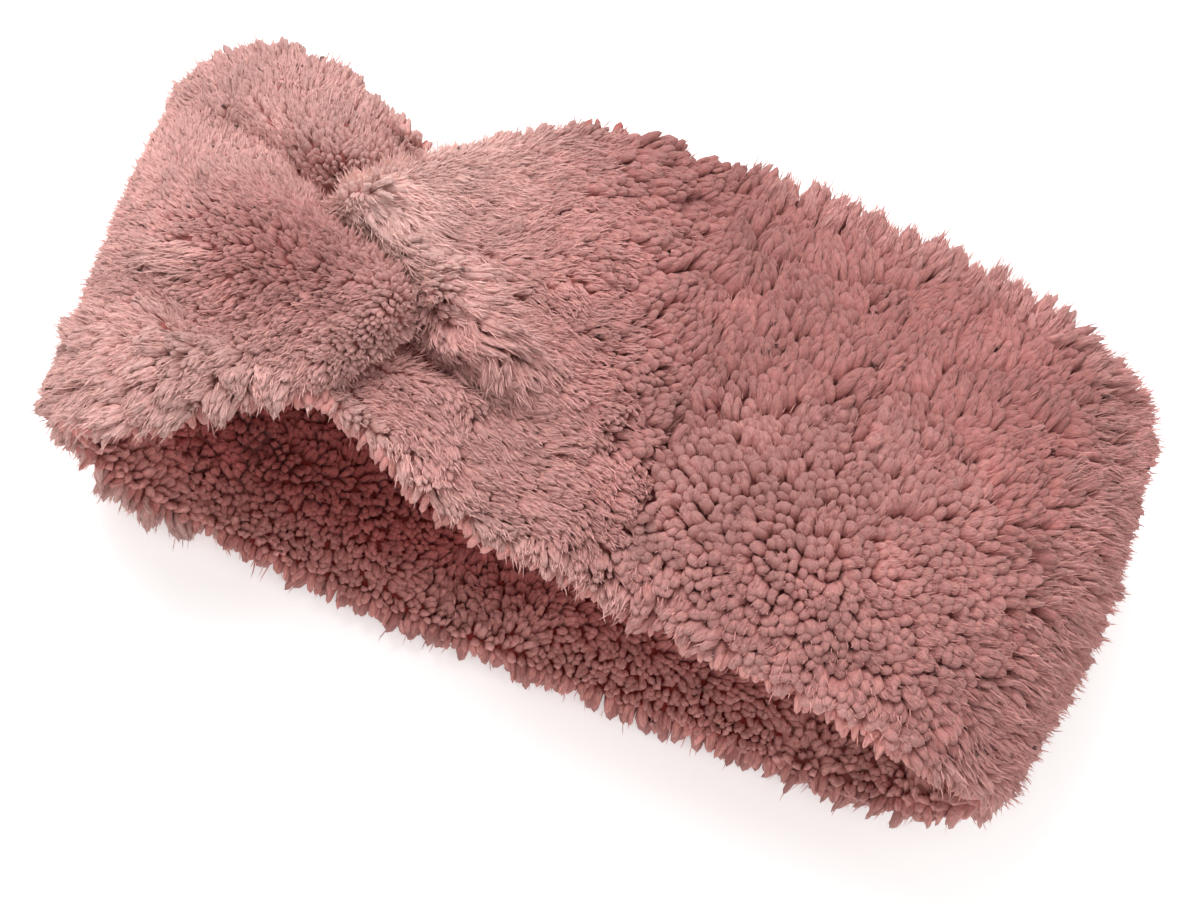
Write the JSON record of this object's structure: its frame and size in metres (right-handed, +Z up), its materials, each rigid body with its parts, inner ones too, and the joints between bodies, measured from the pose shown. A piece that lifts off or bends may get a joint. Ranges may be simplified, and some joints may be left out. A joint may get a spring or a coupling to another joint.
{
  "type": "spa headband",
  "caption": "Twist-front spa headband: a wide soft loop of pink sherpa fleece with an elastic back, lying on its back with the twist on top.",
  "frame": {"origin": "middle of the band's box, on the surface that it lies on", "axes": "+X along the flattened loop from the left lobe to the right lobe, +Y through the loop towards its upper edge as worn, +Z up from the back panel to the twist"},
  "size_m": [0.2498, 0.1206, 0.0798],
  "materials": {
    "fleece_outer": "dusty pink sherpa fleece, tufted pile",
    "fleece_lining": "dusty pink sherpa fleece, shorter curled pile",
    "sewing_thread": "twisted polyester sewing thread",
    "elastic": "flat woven elastic"
  },
  "bodies": {
    "left_half": {"left_strip": "fleece_outer", "back_shell": "fleece_outer", "back_lining": "fleece_lining", "elastic_band": "elastic", "elastic_bartack_left": "sewing_thread", "left_side_seam": "sewing_thread", "left_upper_seam": "sewing_thread", "left_lower_seam": "sewing_thread", "back_upper_seam": "sewing_thread", "back_lower_seam": "sewing_thread"},
    "right_half": {"right_strip": "fleece_outer", "right_upper_seam": "sewing_thread", "right_lower_seam": "sewing_thread", "right_side_seam": "sewing_thread", "elastic_bartack_right": "sewing_thread"}
  },
  "joints": [
    {"name": "elastic_stretch", "type": "slide", "parent": "left_half", "child": "right_half", "axis": [1, 0, 0], "range_m": [0, 0.04], "stiffness_N_per_m": 200, "deforming": ["elastic_band"]}
  ]
}
